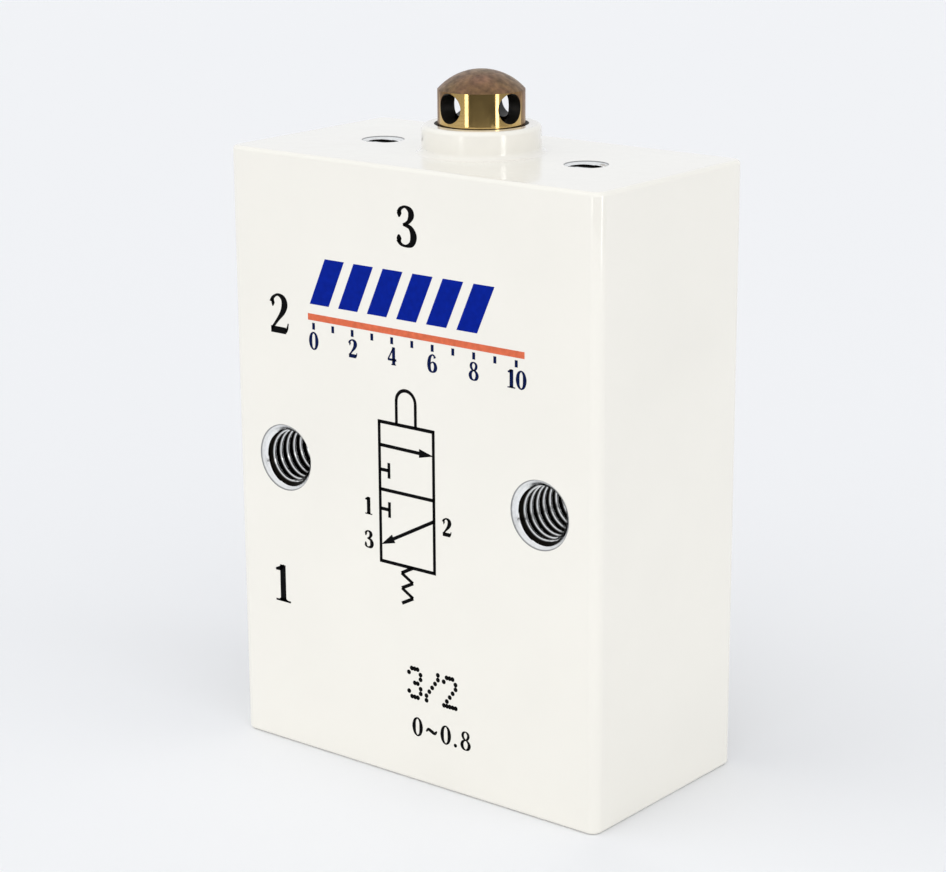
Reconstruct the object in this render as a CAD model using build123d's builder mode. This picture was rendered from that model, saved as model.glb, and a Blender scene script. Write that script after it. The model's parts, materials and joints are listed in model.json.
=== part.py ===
"""Plunger-operated 3/2 poppet valve: painted block with a round neck and a hollow brass plunger.

Millimetres, +Z up. The origin is the centre of the block's underside, on the axis of the main bore.
The front face with the two mounting holes looks along -Y, and the two threaded ports look along -X.
Pressing the plunger down first closes its own hollow on the poppet's rubber disc, then lifts the
disc off the seat, so that the lower port feeds the upper one. At rest the upper port is vented up
through the hollow plunger and out of its cross holes. Threaded bores have their major radius.
"""

from build123d import *
import os
from math import radians, tan

os.makedirs("parts", exist_ok=True)

# Block
body_width = 36.8
body_depth = 19.0
body_height = 50.0
body_corner_radius = 0.9
body_rim_radius = 0.35

# Neck on the block
neck_radius = 4.75
neck_height = 2.25
neck_rim_radius = 0.4
neck_root_radius = 0.5
neck_mouth_radius = 3.74
neck_mouth_depth = 0.6

# Threaded ports in the left face, G 1/4
port_radius = 6.58
port_depth = 10.0
port_chamfer = 0.55
port_spacing = 22.9
port_middle_height = 24.85
passage_radius = 2.6

# Tapped mounting holes through the front, M5, halfway between the ports
mount_hole_radius = 2.5
mount_hole_spacing = 26.0
mount_hole_chamfer = 0.28

# Tapped holes in the top for an operator's bracket, M3
bracket_hole_radius = 1.5
bracket_hole_spacing = 20.4
bracket_hole_depth = 5.0
bracket_hole_chamfer = 0.24
drill_point_angle = 59

# Plunger
plunger_radius = 3.45
plunger_bore_radius = 2.2
plunger_rise = 2.7
dome_height = 1.54
dome_wall = 1.9
cross_hole_radius = 1.18
cross_hole_count = 4
cross_hole_start_angle = -9.5
cross_hole_sill = 0.27
flange_radius = 4.7
flange_thickness = 1.4
spring_hub_radius = 3.7
spring_hub_height = 0.8
nose_radius = 2.95
nose_chamfer = 0.25

# Travel from rest to fully pressed
plunger_stroke = 2.5
poppet_stroke = 1.6
closed_gap = 0.05

# Clearances
running_clearance = 0.06
locating_clearance = 0.05
thread_clearance = 0.02
seal_clearance = 0.02
seating_gap = 0.02

# Main bore, a guide and three widening steps, all drilled from below
guide_depth_below_top = 4.0
upper_bore_radius = 5.1
upper_bore_depth = 23.0
lower_bore_radius = 6.4
plug_thread_radius = 7.0
plug_thread_depth = 5.0
plug_mouth_chamfer = 0.4

# Guide bush and snap ring
bush_length = 2.5
bush_chamfer = 0.3
snap_ring_thickness = 0.8
snap_ring_width = 0.9
snap_ring_groove_depth = 0.3
snap_ring_lug_radius = 0.72
snap_ring_hole_radius = 0.32
snap_ring_opening_angle = 46

# Valve seat
seat_length = 5.0
seat_hole_radius = 3.6
seat_hole_chamfer = 0.5
seat_lip_height = 0.5
seat_lip_land = 0.3
seat_lip_slope = 0.45
seal_groove_depth = 1.25
seal_groove_side_room = 0.15

# Poppet and its rubber disc
disc_radius = 4.65
disc_thickness = 1.6
disc_edge_radius = 0.2
cup_wall = 0.4
cup_floor = 1.2
cup_rim_drop = 0.3
poppet_stem_radius = 2.0
poppet_stem_engagement = 3.9
poppet_stem_end_room = 2.0
poppet_root_radius = 0.5
poppet_tip_chamfer = 0.3

# Cage
cage_wall = 0.85
window_radius = 2.2
window_count = 4

# Bottom plug
plug_recess = 0.3
plug_thread_length = 4.7
plug_spigot_length = 3.0
plug_hub_radius = 2.7
plug_hub_height = 1.5
plug_chamfer = 0.4
hex_across_flats = 6.0
hex_depth = 2.2
hex_chamfer = 0.25

# Springs
plunger_spring_radius = 4.2
plunger_spring_wire_radius = 0.3
plunger_spring_turns = 5
poppet_spring_radius = 3.2
poppet_spring_wire_radius = 0.35
poppet_spring_turns = 5
spring_wire_sides = 8

# Heights worked out from the top down
neck_top = body_height + neck_height
plunger_shoulder = neck_top + plunger_rise
plunger_top = plunger_shoulder + dome_height
dome_radius = (plunger_radius**2 + dome_height**2) / (2 * dome_height)
cross_hole_height = neck_top + cross_hole_sill + cross_hole_radius
guide_bottom = body_height - guide_depth_below_top
guide_radius = plunger_radius + running_clearance
plunger_seal_section = (upper_bore_radius - plunger_radius) / 2 - seal_clearance
plunger_seal_height = guide_bottom - seating_gap - plunger_seal_section
bush_top = plunger_seal_height - plunger_seal_section - seating_gap
bush_bottom = bush_top - bush_length
snap_ring_top = bush_bottom - seating_gap
snap_ring_bottom = snap_ring_top - snap_ring_thickness
flange_top = snap_ring_bottom - seating_gap
flange_bottom = flange_top - flange_thickness
seat_step = body_height - upper_bore_depth
seat_top = seat_step - seating_gap
seat_bottom = seat_top - seat_length
lip_bottom = seat_bottom - seat_lip_height
disc_top = lip_bottom - seating_gap
nose_bottom = disc_top - poppet_stroke + plunger_stroke + closed_gap
disc_bottom = disc_top - disc_thickness
cup_floor_bottom = disc_bottom - seating_gap - cup_floor

# Heights worked out from the bottom up
port_heights = [port_middle_height - port_spacing / 2, port_middle_height + port_spacing / 2]
plug_shoulder = plug_recess + plug_thread_length
plug_top = plug_shoulder + plug_spigot_length
plug_hub_top = plug_top + plug_hub_height
stem_bottom = plug_hub_top - poppet_stem_engagement
stem_bore_bottom = stem_bottom - poppet_stem_end_room
cage_bottom = plug_top + seating_gap
cage_top = seat_bottom - seating_gap
cage_radius = lower_bore_radius - locating_clearance

# Seals in the lower bore share one groove
seal_groove_floor = lower_bore_radius - seal_groove_depth
lower_seal_section = seal_groove_depth / 2 - seal_clearance
seal_groove_width = 2 * (lower_seal_section + seal_groove_side_room)
seat_seal_height = (seat_top + seat_bottom) / 2
plug_seal_height = (plug_shoulder + plug_top) / 2

left_face = Plane(origin=(-body_width / 2, 0, 0), x_dir=(0, -1, 0), z_dir=(-1, 0, 0))
front_face = Plane(origin=(0, -body_depth / 2, port_middle_height), x_dir=(1, 0, 0), z_dir=(0, -1, 0))


def write(piece, name):
    """Label a finished piece and write its STEP file."""
    piece.part.label = name
    export_step(piece.part, f"parts/{name}.step")


def drill_point(radius, depth):
    """Cut the cone that a drill leaves at the end of a blind hole, in the active part."""
    tip = radius / tan(radians(drill_point_angle))
    with Locations((0, 0, -depth - tip / 2)):
        Cone(bottom_radius=0, top_radius=radius, height=tip, mode=Mode.SUBTRACT)


# Painted block: outside form, neck, ports, tapped holes and the stepped main bore
with BuildPart() as valve_body:
    with BuildSketch():
        RectangleRounded(body_width, body_depth, body_corner_radius)
    extrude(amount=body_height)
    fillet(valve_body.edges().group_by(Axis.Z)[0], body_rim_radius)
    fillet(valve_body.edges().group_by(Axis.Z)[-1], body_rim_radius)
    with BuildSketch(Plane.XY.offset(body_height)):
        Circle(neck_radius)
    extrude(amount=neck_height)
    fillet(valve_body.edges().group_by(Axis.Z)[-1], neck_rim_radius)
    neck_root = valve_body.edges().filter_by(GeomType.CIRCLE).filter_by(
        lambda edge: abs(edge.radius - neck_radius) < seating_gap and edge.center().Z < neck_top
    )
    fillet(neck_root.sort_by(Axis.Z)[0], neck_root_radius)
    with Locations(left_face):
        with Locations(*[(0, height) for height in port_heights]):
            CounterBoreHole(passage_radius, port_radius, port_depth, body_width / 2)
    chamfer(valve_body.faces().sort_by(Axis.X)[0].edges().filter_by(GeomType.CIRCLE), port_chamfer)
    with Locations(front_face):
        with GridLocations(mount_hole_spacing, 0, 2, 1):
            Hole(mount_hole_radius, body_depth)
    for face in (valve_body.faces().sort_by(Axis.Y)[0], valve_body.faces().sort_by(Axis.Y)[-1]):
        chamfer(face.edges().filter_by(GeomType.CIRCLE), mount_hole_chamfer)
    with Locations((0, 0, body_height)):
        with GridLocations(bracket_hole_spacing, 0, 2, 1):
            Hole(bracket_hole_radius, bracket_hole_depth)
            drill_point(bracket_hole_radius, bracket_hole_depth)
    bracket_mouths = valve_body.edges().filter_by(GeomType.CIRCLE).filter_by(
        lambda edge: abs(edge.radius - bracket_hole_radius) < seating_gap
        and abs(edge.center().Z - body_height) < seating_gap
    )
    chamfer(bracket_mouths, bracket_hole_chamfer)
    with BuildSketch(Plane.XZ):
        with BuildLine():
            Polyline(
                (0, neck_top),
                (neck_mouth_radius, neck_top),
                (neck_mouth_radius, neck_top - neck_mouth_depth),
                (guide_radius, neck_top - neck_mouth_depth),
                (guide_radius, guide_bottom),
                (upper_bore_radius, guide_bottom),
                (upper_bore_radius, snap_ring_top + seating_gap),
                (upper_bore_radius + snap_ring_groove_depth, snap_ring_top + seating_gap),
                (upper_bore_radius + snap_ring_groove_depth, snap_ring_bottom - seating_gap),
                (upper_bore_radius, snap_ring_bottom - seating_gap),
                (upper_bore_radius, seat_step),
                (lower_bore_radius, seat_step),
                (lower_bore_radius, plug_thread_depth),
                (plug_thread_radius, plug_thread_depth),
                (plug_thread_radius, plug_mouth_chamfer),
                (plug_thread_radius + plug_mouth_chamfer, 0),
                (0, 0),
                close=True,
            )
        make_face()
    revolve(axis=Axis.Z, mode=Mode.SUBTRACT)
write(valve_body, "valve_body")

# Hollow plunger: domed head, guide stem, stop flange, spring hub and sealing nose
with BuildPart() as plunger:
    with BuildSketch(Plane.XZ):
        with BuildLine():
            dome = RadiusArc((plunger_radius, plunger_shoulder), (0, plunger_top), -dome_radius)
            Polyline(
                dome @ 1,
                (0, plunger_top - dome_wall),
                (plunger_bore_radius, plunger_top - dome_wall),
                (plunger_bore_radius, nose_bottom),
                (nose_radius - nose_chamfer, nose_bottom),
                (nose_radius, nose_bottom + nose_chamfer),
                (nose_radius, flange_bottom - spring_hub_height),
                (spring_hub_radius, flange_bottom - spring_hub_height),
                (spring_hub_radius, flange_bottom),
                (flange_radius, flange_bottom),
                (flange_radius, flange_top),
                (plunger_radius, flange_top),
                dome @ 0,
            )
        make_face()
    revolve(axis=Axis.Z)
    with Locations((0, 0, cross_hole_height)):
        with PolarLocations(plunger_radius, cross_hole_count, cross_hole_start_angle):
            Cylinder(cross_hole_radius, plunger_radius, rotation=(0, 90, 0), mode=Mode.SUBTRACT)
write(plunger, "plunger")

# Rubber ring round the plunger, under the guide
with BuildPart() as plunger_seal:
    with BuildSketch(Plane.XZ):
        with Locations(((plunger_radius + upper_bore_radius) / 2, plunger_seal_height)):
            Circle(plunger_seal_section)
    revolve(axis=Axis.Z)
write(plunger_seal, "plunger_seal")

# Bush that backs the ring and guides the plunger
with BuildPart() as guide_bush:
    with BuildSketch(Plane.XY.offset(bush_bottom)):
        Circle(upper_bore_radius - locating_clearance)
        Circle(guide_radius, mode=Mode.SUBTRACT)
    extrude(amount=bush_length)
    chamfer(guide_bush.faces().sort_by(Axis.Z)[0].edges(), bush_chamfer)
write(guide_bush, "guide_bush")

# Internal snap ring with two plier lugs, which holds the bush and stops the flange
with BuildPart() as bush_snap_ring:
    ring_outer_radius = upper_bore_radius + snap_ring_groove_depth - seating_gap
    ring_inner_radius = ring_outer_radius - snap_ring_width
    with BuildSketch(Plane.XY.offset(snap_ring_bottom)):
        Circle(ring_outer_radius)
        Circle(ring_inner_radius, mode=Mode.SUBTRACT)
        with BuildLine(mode=Mode.PRIVATE) as opening:
            Polyline(
                (0, 0),
                Vector(2 * ring_outer_radius, 0).rotate(Axis.Z, 90 - snap_ring_opening_angle / 2),
                Vector(2 * ring_outer_radius, 0).rotate(Axis.Z, 90 + snap_ring_opening_angle / 2),
                close=True,
            )
        make_face(opening.edges(), mode=Mode.SUBTRACT)
        for side in (-1, 1):
            lug = Vector(ring_inner_radius, 0).rotate(Axis.Z, 90 + side * snap_ring_opening_angle / 2)
            with Locations(lug):
                Circle(snap_ring_lug_radius)
                Circle(snap_ring_hole_radius, mode=Mode.SUBTRACT)
    extrude(amount=snap_ring_thickness)
write(bush_snap_ring, "bush_snap_ring")

# Brass insert with the raised sealing lip and a groove for its ring
with BuildPart() as valve_seat:
    with BuildSketch(Plane.XZ):
        with BuildLine():
            Polyline(
                (seat_hole_radius + seat_hole_chamfer, seat_top),
                (cage_radius, seat_top),
                (cage_radius, seat_seal_height + seal_groove_width / 2),
                (seal_groove_floor, seat_seal_height + seal_groove_width / 2),
                (seal_groove_floor, seat_seal_height - seal_groove_width / 2),
                (cage_radius, seat_seal_height - seal_groove_width / 2),
                (cage_radius, seat_bottom),
                (seat_hole_radius + seat_lip_land + seat_lip_slope, seat_bottom),
                (seat_hole_radius + seat_lip_land, lip_bottom),
                (seat_hole_radius, lip_bottom),
                (seat_hole_radius, seat_top - seat_hole_chamfer),
                close=True,
            )
        make_face()
    revolve(axis=Axis.Z)
write(valve_seat, "valve_seat")

# Rubber ring round the seat insert
with BuildPart() as valve_seat_seal:
    with BuildSketch(Plane.XZ):
        with Locations(((seal_groove_floor + lower_bore_radius) / 2, seat_seal_height)):
            Circle(lower_seal_section)
    revolve(axis=Axis.Z)
write(valve_seat_seal, "valve_seat_seal")

# Windowed sleeve between the plug and the seat insert
with BuildPart() as valve_cage:
    with BuildSketch(Plane.XY.offset(cage_bottom)):
        Circle(cage_radius)
        Circle(cage_radius - cage_wall, mode=Mode.SUBTRACT)
    extrude(amount=cage_top - cage_bottom)
    with Locations((0, 0, port_heights[0])):
        with PolarLocations(cage_radius, window_count):
            Cylinder(window_radius, 4 * cage_wall, rotation=(0, 90, 0), mode=Mode.SUBTRACT)
write(valve_cage, "valve_cage")

# Poppet: cup head and guide stem
with BuildPart() as poppet:
    cup_inner_radius = disc_radius + seating_gap
    cup_radius = cup_inner_radius + cup_wall
    with BuildSketch(Plane.XZ):
        with BuildLine():
            Polyline(
                (0, stem_bottom),
                (poppet_stem_radius - poppet_tip_chamfer, stem_bottom),
                (poppet_stem_radius, stem_bottom + poppet_tip_chamfer),
                (poppet_stem_radius, cup_floor_bottom),
                (cup_radius, cup_floor_bottom),
                (cup_radius, disc_top - cup_rim_drop),
                (cup_inner_radius, disc_top - cup_rim_drop),
                (cup_inner_radius, disc_bottom - seating_gap),
                (0, disc_bottom - seating_gap),
                close=True,
            )
        make_face()
    revolve(axis=Axis.Z)
    stem_root = poppet.edges().filter_by(
        lambda edge: edge.geom_type == GeomType.CIRCLE
        and abs(edge.radius - poppet_stem_radius) < seating_gap
    )
    fillet(stem_root.sort_by(Axis.Z)[-1], poppet_root_radius)
write(poppet, "poppet")

# Rubber disc that closes the seat and the plunger's nose
with BuildPart() as poppet_seal_disc:
    with BuildSketch(Plane.XY.offset(disc_bottom)):
        Circle(disc_radius)
    extrude(amount=disc_thickness)
    fillet(poppet_seal_disc.faces().sort_by(Axis.Z)[-1].edges(), disc_edge_radius)
write(poppet_seal_disc, "poppet_seal_disc")

# Screwed plug: hexagon socket below, ring groove, spring hub and the poppet's guide bore above
with BuildPart() as bottom_plug:
    plug_radius = plug_thread_radius - thread_clearance
    stem_bore_radius = poppet_stem_radius + running_clearance
    with BuildSketch(Plane.XZ):
        with BuildLine():
            Polyline(
                (0, plug_recess),
                (plug_radius - plug_chamfer, plug_recess),
                (plug_radius, plug_recess + plug_chamfer),
                (plug_radius, plug_shoulder - seating_gap),
                (cage_radius, plug_shoulder - seating_gap),
                (cage_radius, plug_seal_height - seal_groove_width / 2),
                (seal_groove_floor, plug_seal_height - seal_groove_width / 2),
                (seal_groove_floor, plug_seal_height + seal_groove_width / 2),
                (cage_radius, plug_seal_height + seal_groove_width / 2),
                (cage_radius, plug_top),
                (plug_hub_radius, plug_top),
                (plug_hub_radius, plug_hub_top),
                (stem_bore_radius, plug_hub_top),
                (stem_bore_radius, stem_bore_bottom),
                (0, stem_bore_bottom),
                close=True,
            )
        make_face()
    revolve(axis=Axis.Z)
    with BuildSketch(Plane.XY.offset(plug_recess)):
        RegularPolygon(hex_across_flats / 2, 6, major_radius=False)
    extrude(amount=hex_depth, mode=Mode.SUBTRACT)
    chamfer(bottom_plug.faces().sort_by(Axis.Z)[0].inner_wires().edges(), hex_chamfer)
write(bottom_plug, "bottom_plug")

# Rubber ring round the plug
with BuildPart() as bottom_plug_seal:
    with BuildSketch(Plane.XZ):
        with Locations(((seal_groove_floor + lower_bore_radius) / 2, plug_seal_height)):
            Circle(lower_seal_section)
    revolve(axis=Axis.Z)
write(bottom_plug_seal, "bottom_plug_seal")


def coil_spring(low, high, coil_radius, wire_radius, turns):
    """A wire swept along a helix, with both ends ground flat. A few sides keep the coils light."""
    with BuildPart() as spring:
        with BuildLine(Plane.XY.offset(low)) as path:
            Helix((high - low) / turns, high - low, coil_radius)
        with BuildSketch(Plane(origin=path.line @ 0, z_dir=path.line % 0)):
            RegularPolygon(wire_radius, spring_wire_sides)
        sweep(path=path.line, is_frenet=True)
        split(bisect_by=Plane.XY.offset(low), keep=Keep.TOP)
        split(bisect_by=Plane.XY.offset(high), keep=Keep.BOTTOM)
    return spring


# Spring that lifts the plunger off the poppet
plunger_spring = coil_spring(
    seat_top + seating_gap,
    flange_bottom - seating_gap,
    plunger_spring_radius,
    plunger_spring_wire_radius,
    plunger_spring_turns,
)
write(plunger_spring, "plunger_spring")

# Spring that presses the poppet on to the seat
poppet_spring = coil_spring(
    plug_top + seating_gap,
    cup_floor_bottom - seating_gap,
    poppet_spring_radius,
    poppet_spring_wire_radius,
    poppet_spring_turns,
)
write(poppet_spring, "poppet_spring")
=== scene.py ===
"""Plunger-operated 3/2 poppet valve: finishes, threads, springs and print around the CAD frame."""

import json
import math
from functools import partial

import bmesh
import bpy
from mathutils import Matrix, Vector


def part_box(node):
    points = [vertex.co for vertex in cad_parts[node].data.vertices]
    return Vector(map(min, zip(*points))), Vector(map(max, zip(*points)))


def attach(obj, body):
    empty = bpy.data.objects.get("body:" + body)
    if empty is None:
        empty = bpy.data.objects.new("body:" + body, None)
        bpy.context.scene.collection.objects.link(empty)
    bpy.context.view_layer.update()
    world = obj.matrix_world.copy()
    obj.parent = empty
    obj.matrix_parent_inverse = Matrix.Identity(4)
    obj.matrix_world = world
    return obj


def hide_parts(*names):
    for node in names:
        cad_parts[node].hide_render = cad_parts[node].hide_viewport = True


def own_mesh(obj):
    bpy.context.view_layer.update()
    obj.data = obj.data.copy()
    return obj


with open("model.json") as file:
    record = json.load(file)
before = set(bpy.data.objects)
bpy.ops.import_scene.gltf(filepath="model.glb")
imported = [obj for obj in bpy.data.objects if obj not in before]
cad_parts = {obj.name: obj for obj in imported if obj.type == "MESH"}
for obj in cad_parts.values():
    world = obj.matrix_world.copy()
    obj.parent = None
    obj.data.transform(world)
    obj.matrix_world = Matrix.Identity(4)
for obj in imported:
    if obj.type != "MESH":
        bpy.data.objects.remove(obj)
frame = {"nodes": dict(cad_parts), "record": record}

bl_info = {
    "name": "Plunger-operated poppet valve",
    "version": (1, 0, 0),
    "blender": (4, 5, 0),
    "location": "View3D > Sidebar > Valve",
    "description": "Dresses a small pneumatic valve with paint, brass, threads and print",
    "category": "Object",
}

MM = 0.001
MOUNTS = {mount["name"]: mount for mount in frame["record"]["mounts"]}
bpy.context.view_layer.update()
BLOCK_LOW, BLOCK_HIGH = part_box("valve_body")
BLOCK_TOP = MOUNTS["bracket_holes"]["pos_m"][2]
FRONT_Y = BLOCK_LOW.y


def linear(code):
    """Linear colour, with alpha 1, of an sRGB hex code such as "#F0EFE8"."""
    channels = [int(code[place:place + 2], 16) / 255 for place in (1, 3, 5)]
    return tuple(c / 12.92 if c <= 0.04045 else ((c + 0.055) / 1.055) ** 2.4 for c in channels) + (1.0,)


def length(label, millimetres, description, least=0):
    """A size that the user can change."""
    return bpy.props.FloatProperty(
        name=label, description=description, default=millimetres * MM, min=least * MM, precision=5,
        unit="LENGTH"
    )


def angle(label, degrees, description):
    """An angle that the user can change."""
    return bpy.props.FloatProperty(
        name=label, description=description, default=math.radians(degrees), subtype="ANGLE"
    )


def colour(label, code, description):
    """A colour that the user can change."""
    return bpy.props.FloatVectorProperty(
        name=label, description=description, default=linear(code), size=4, min=0, max=1, subtype="COLOR"
    )


class ValveColours(bpy.types.PropertyGroup):
    """Colours of the valve's finishes."""

    paint: colour("Paint", "#F4F1E8", "Cream-white gloss enamel of the block")
    aluminium: colour("Aluminium", "#F4F5F5", "Bare machined aluminium of bores, threads and chamfers")
    brass: colour("Brass", "#D3B272", "Freshly turned brass")
    red_skin: colour("Reddish skin", "#956E54", "Brown skin on brass, where more of its copper shows")
    olive_skin: colour("Olive skin", "#866A40", "Brown skin on brass, where more of its zinc is left")
    steel: colour("Spring steel", "#A9A9AC", "Bright drawn spring wire")
    rubber: colour("Rubber", "#1B1B1C", "Black nitrile rubber")
    # Near-black that stands for oil and grease and is also painted shade: it darkens the thread roots, the
    # gap round the plunger and the inside of its head
    oil: colour("Oil and grease", "#12100D", "Dark oil in thread roots and old grease round the plunger")
    black_ink: colour("Black ink", "#040405", "Numerals and valve symbol")
    blue_ink: colour("Blue ink", "#001C86", "Slanted bars")
    orange_ink: colour("Orange ink", "#CD6748", "Long thin bar")
    navy_ink: colour("Navy ink", "#04133F", "Scale below the bar")


class ValveThreads(bpy.types.PropertyGroup):
    """Sizes of the cut threads."""

    port_pitch: length("Port pitch", 1.337, "Pitch of the G 1/4 port threads")
    port_length: length("Port length", 8.9, "Length of thread in a port")
    port_chamfer: length("Port chamfer", 0.55, "Chamfer at a port's mouth")
    mount_pitch: length("Mounting pitch", 0.8, "Pitch of the M5 mounting threads")
    mount_chamfer: length("Mounting chamfer", 0.28, "Chamfer at a mounting hole's mouths")
    mount_start: angle("Mounting start", -150, "Where round a mounting hole its thread begins")
    bracket_pitch: length("Bracket pitch", 0.5, "Pitch of the M3 bracket threads")
    bracket_length: length("Bracket length", 4.5, "Length of thread in a bracket hole")
    bracket_chamfer: length("Bracket chamfer", 0.24, "Chamfer at a bracket hole's mouth")


class ValvePlunger(bpy.types.PropertyGroup):
    """Sizes of the plunger's head."""

    radius: length("Radius", 3.45, "Radius of the plunger")
    dome_height: length("Dome height", 1.54, "Height of the dome above its shoulder")


class ValvePrint(bpy.types.PropertyGroup):
    """Sizes of the screen-printed marks."""

    proud: length("Ink thickness", 0.012, "Height of the dry ink above the paint")
    buried: length("Ink bite", 0.012, "Depth of the ink below the paint's surface")
    line: length("Symbol line", 0.28, "Line width of the valve symbol")
    port_numeral: length("Port numeral", 3.25, "Height of the port numerals")
    small_numeral: length("Small numeral", 1.45, "Height of the numerals at the symbol")
    dot: length("Dot", 0.2, "Radius of one dot of the dotted numerals")
    dot_rise: length("Dot rise", 0.4, "Spacing up a dotted numeral")
    dot_step: length("Dot step", 0.3, "Spacing across a dotted numeral")


class ValveStage(bpy.types.PropertyGroup):
    """Camera and light."""

    azimuth: angle("Azimuth", 38.844, "Camera's angle round the valve from its front")
    elevation: angle("Elevation", 15.539, "Camera's angle above the floor")
    roll: angle("Roll", -0.343, "Camera's turn about its own axis")
    distance: length("Distance", 217.30, "From the camera to the plane it is aimed in")
    aim_right: length("Aim right", -0.970, "Camera's shift to its own right", least=-1000)
    aim_up: length("Aim up", 25.802, "Camera's shift to its own top")
    lens: bpy.props.FloatProperty(
        name="Lens", description="Focal length on a sensor 36 mm wide", default=98.72, min=1, unit="CAMERA"
    )
    floor: colour("Floor", "#F4F5F7", "Pale floor")
    backdrop: colour("Backdrop", "#F6F7F9", "Pale studio all round")


def add_node(tree, kind, *values, inputs=None, **settings):
    """Add a node with its settings. Values go to its open inputs in turn, and inputs names the others.

    The kind is a type of node, or else what a Math node does. A value is a plain one, a socket to link,
    or a node, whose first open output is then linked.
    """
    if "Node" not in kind:
        kind, settings = "ShaderNodeMath", {"operation": kind}
    node = tree.nodes.new(kind)
    for name, value in settings.items():
        setattr(node, name, value)
    filled = dict(zip([socket for socket in node.inputs if socket.enabled], values))
    filled.update((node.inputs[name], value) for name, value in (inputs or {}).items())
    for socket, value in filled.items():
        if isinstance(value, bpy.types.Node):
            value = next(output for output in value.outputs if output.enabled)
        if isinstance(value, bpy.types.NodeSocket):
            tree.links.new(value, socket)
        else:
            socket.default_value = value
    return node


# Node kinds that are used again and again. A noise is given its place, its scale and its detail, and a
# mix its share of the second colour, the first colour and the second.
MAP_RANGE = "ShaderNodeMapRange"
MIX = "ShaderNodeMix"
NOISE = "ShaderNodeTexNoise"
# A noise mostly lies between these two values
NOISE_LOW, NOISE_HIGH = 0.3, 0.7
# An edge that turns by more than this is sharp
BLOCK_CREASE, BRASS_CREASE, GROWN_CREASE = (math.radians(turn) for turn in (28, 24, 35))


def new_material(name):
    """A node material, what adds a node to it, and the Object coordinates that its patterns read."""
    material = bpy.data.materials.new(name)
    material.use_nodes = True
    material.node_tree.nodes.clear()
    add = partial(add_node, material.node_tree)
    return material, add, add("ShaderNodeTexCoord").outputs["Object"]


def surfaced(material, add, inputs):
    """The material, with one Principled surface that has those inputs."""
    add("ShaderNodeOutputMaterial", add("ShaderNodeBsdfPrincipled", inputs=inputs))
    return material


def shade_of(value, share):
    """The same colour, darker or lighter by a share."""
    return tuple(min(1, channel * share) for channel in value[:3]) + (1.0,)


def mottle(add, place, size, detail, value, share):
    """Patches of a size in mm: their noise, and a colour that goes to a darker or lighter share in them."""
    patches = add(NOISE, place, 1 / (size * MM), detail)
    depth = add(MAP_RANGE, patches, NOISE_LOW, NOISE_HIGH)
    return patches, add(MIX, depth, value, shade_of(value, share), data_type="RGBA")


def grain(add, place, size, detail, depth):
    """Relief of a grain's size and depth in mm, as a normal."""
    grains = add(NOISE, place, 1 / (size * MM), detail)
    return add("ShaderNodeBump", inputs={"Height": grains, "Strength": 1, "Distance": depth * MM})


def gloss_cream_enamel(add, place, colours):
    """Stoved gloss enamel: a flowed film with faint orange peel, a little uneven in tone and gloss."""
    tone = mottle(add, place, size=14, detail=3, value=colours.paint, share=0.965)[1]
    flow = add(NOISE, place, 1 / (5 * MM), 3)
    return {
        "Base Color": tone,
        "Roughness": add(MAP_RANGE, flow, NOISE_LOW, NOISE_HIGH, 0.13, 0.21),
        "Normal": grain(add, place, size=1.3, detail=1, depth=0.006),
        "Coat Weight": 0.9,
        "Coat Roughness": 0.06,
    }


def machined_aluminium(add, place, colours):
    """Aluminium cut by drill and tap: bright metal with fine tool marks, and a dark line where paint ends."""
    marks, metal = mottle(add, place, size=0.22, detail=5, value=colours.aluminium, share=0.88)
    rim = add("ShaderNodeAttribute", attribute_name="rim").outputs["Fac"]
    edge = add(MAP_RANGE, rim, 0.6, 0.85)
    return {
        "Base Color": add(MIX, edge, metal, shade_of(colours.aluminium, 0.3), data_type="RGBA"),
        "Metallic": 1,
        "Roughness": add(MAP_RANGE, marks, NOISE_LOW, NOISE_HIGH, 0.24, 0.46),
        "Normal": grain(add, place, size=0.22, detail=5, depth=0.01),
    }


def tapped_aluminium(add, place, colours):
    """Tapped thread in aluminium: crests and chamfers bright, roots near-black with cutting oil and with
    painted shade where the deep roots lie in shade.
    """
    groove = add("ShaderNodeAttribute", attribute_name="groove").outputs["Fac"]
    # Roots blend toward the near-black colour: partly oil, partly painted shade in the recess
    oil = add(MAP_RANGE, groove, 0.03, 0.32)
    marks = add(NOISE, place, 1 / (0.22 * MM), 5)
    return {
        "Base Color": add(MIX, oil, colours.aluminium, colours.oil, data_type="RGBA"),
        "Metallic": 1,
        "Roughness": add(MAP_RANGE, marks, NOISE_LOW, NOISE_HIGH, 0.1, 0.24),
        "Normal": grain(add, place, size=0.22, detail=5, depth=0.006),
    }


def old_grease(add, place, colours):
    """Dusty grease in the gap round the plunger and inside its head, and painted shade there where these
    hollows lie in shade: nearly black, dully shining.
    """
    tone = mottle(add, place, size=0.3, detail=3, value=colours.oil, share=2.2)[1]
    return {"Base Color": tone, "Roughness": 0.45}


def brass_metal(add, place, colours):
    """The stain on bare brass, and the metal's colour with it."""
    return mottle(add, place, size=1.6, detail=4, value=colours.brass, share=0.8)


def brass_skin(add, place, colours, light, dark):
    """The blotches of the brown skin that brass grows, and its colour, from olive to reddish with them."""
    area = add(NOISE, place, 1 / (2.2 * MM), 2)
    redness = add(MAP_RANGE, area, NOISE_LOW, NOISE_HIGH)
    brown = add(MIX, redness, colours.olive_skin, colours.red_skin, data_type="RGBA")
    blotch = add(NOISE, place, 1 / (0.55 * MM), 6)
    depth = add(MAP_RANGE, blotch, NOISE_LOW, NOISE_HIGH, light, dark)
    return blotch, add("ShaderNodeVectorMath", brown, inputs={"Scale": depth}, operation="SCALE")


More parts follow.
